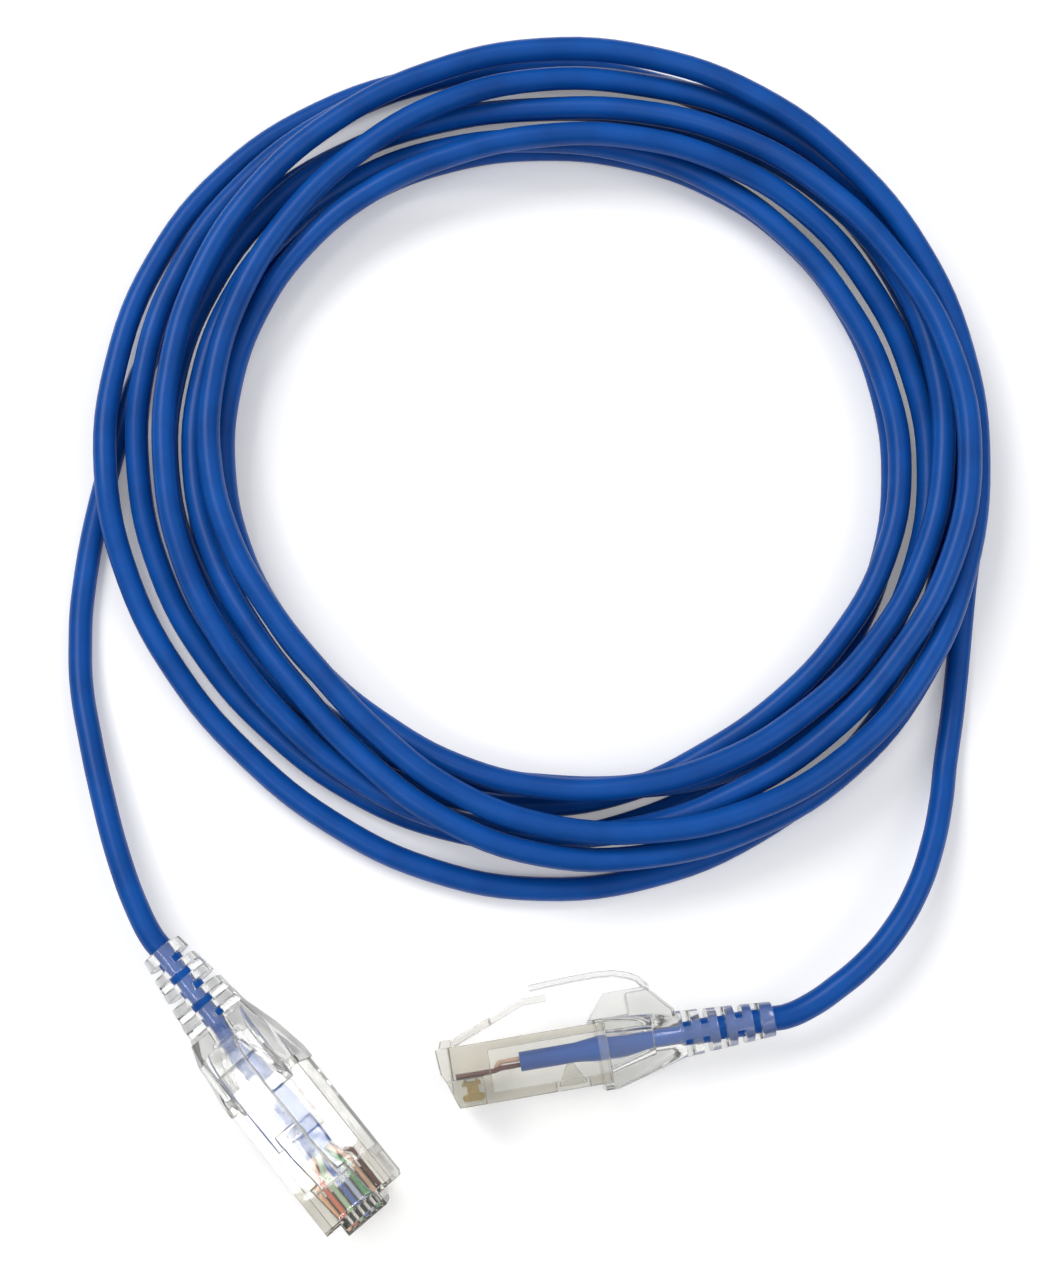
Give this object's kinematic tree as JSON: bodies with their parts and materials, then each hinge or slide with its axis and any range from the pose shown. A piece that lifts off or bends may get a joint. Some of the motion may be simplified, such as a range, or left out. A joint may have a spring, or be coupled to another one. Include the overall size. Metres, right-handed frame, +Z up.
{
  "type": "ethernet patch cable",
  "caption": "Slim round network patch cable in a loose coil, with a clear modular plug, a slotted clear boot and a covered latch on each end.",
  "frame": {"origin": "on the floor, under the middle of the bounding box of the two plugs and boots", "axes": "+X from the left plug towards the right one, as the two lie side by side, +Y from the plugs towards the coil, +Z up"},
  "size_m": [0.1377, 0.178, 0.0172],
  "materials": {
    "jacket": "gloss",
    "clear_housing": "clear gloss",
    "clear_boot": "clear satin",
    "gold_contacts": "polished",
    "wire_white_orange": "gloss",
    "wire_orange": "gloss",
    "wire_white_green": "gloss",
    "wire_blue": "gloss",
    "wire_white_blue": "gloss",
    "wire_green": "gloss",
    "wire_white_brown": "gloss",
    "wire_brown": "gloss"
  },
  "bodies": {
    "cable": {"plug_housing_a": "clear_housing", "contact_blades_a": "gold_contacts", "boot_a": "clear_boot", "jacket_end_a": "jacket", "plug_housing_b": "clear_housing", "contact_blades_b": "gold_contacts", "boot_b": "clear_boot", "jacket_end_b": "jacket", "wire_white_orange_a": "wire_white_orange", "wire_orange_a": "wire_orange", "wire_white_green_a": "wire_white_green", "wire_blue_a": "wire_blue", "wire_white_blue_a": "wire_white_blue", "wire_green_a": "wire_green", "wire_white_brown_a": "wire_white_brown", "wire_brown_a": "wire_brown", "wire_white_orange_b": "wire_white_orange", "wire_orange_b": "wire_orange", "wire_white_green_b": "wire_white_green", "wire_blue_b": "wire_blue", "wire_white_blue_b": "wire_white_blue", "wire_green_b": "wire_green", "wire_white_brown_b": "wire_white_brown", "wire_brown_b": "wire_brown", "tail_a": "jacket", "cord_coil": "jacket", "tail_b": "jacket"},
    "latch_a": {"latch_a": "clear_housing"},
    "boot_lever_a": {"boot_lever_a": "clear_boot"},
    "latch_b": {"latch_b": "clear_housing"},
    "boot_lever_b": {"boot_lever_b": "clear_boot"}
  },
  "joints": [
    {"name": "latch_press_a", "type": "hinge", "parent": "cable", "child": "latch_a", "pos_m": [-0.0139, -0.01589, 0.01051], "axis": [-0.7586, -0.6365, -0.1392], "range_deg": [0, 14], "stiffness_Nm_per_rad": 0.1},
    {"name": "lever_press_a", "type": "hinge", "parent": "cable", "child": "boot_lever_a", "pos_m": [-0.03192, 0.00488, 0.01372], "axis": [-0.7586, -0.6365, -0.1392], "range_deg": [-9, 0], "stiffness_Nm_per_rad": 0.05},
    {"name": "latch_press_b", "type": "hinge", "parent": "cable", "child": "latch_b", "pos_m": [-0.00051, 0.00552, 0.00615], "axis": [0, 0, -1], "range_deg": [0, 14], "stiffness_Nm_per_rad": 0.1},
    {"name": "lever_press_b", "type": "hinge", "parent": "cable", "child": "boot_lever_b", "pos_m": [0.02608, 0.01327, 0.00615], "axis": [0, 0, -1], "range_deg": [-9, 0], "stiffness_Nm_per_rad": 0.05}
  ],
  "couplings": [
    {"joint": "lever_press_a", "follows": "latch_press_a", "ratio": -0.61},
    {"joint": "lever_press_b", "follows": "latch_press_b", "ratio": -0.61}
  ]
}
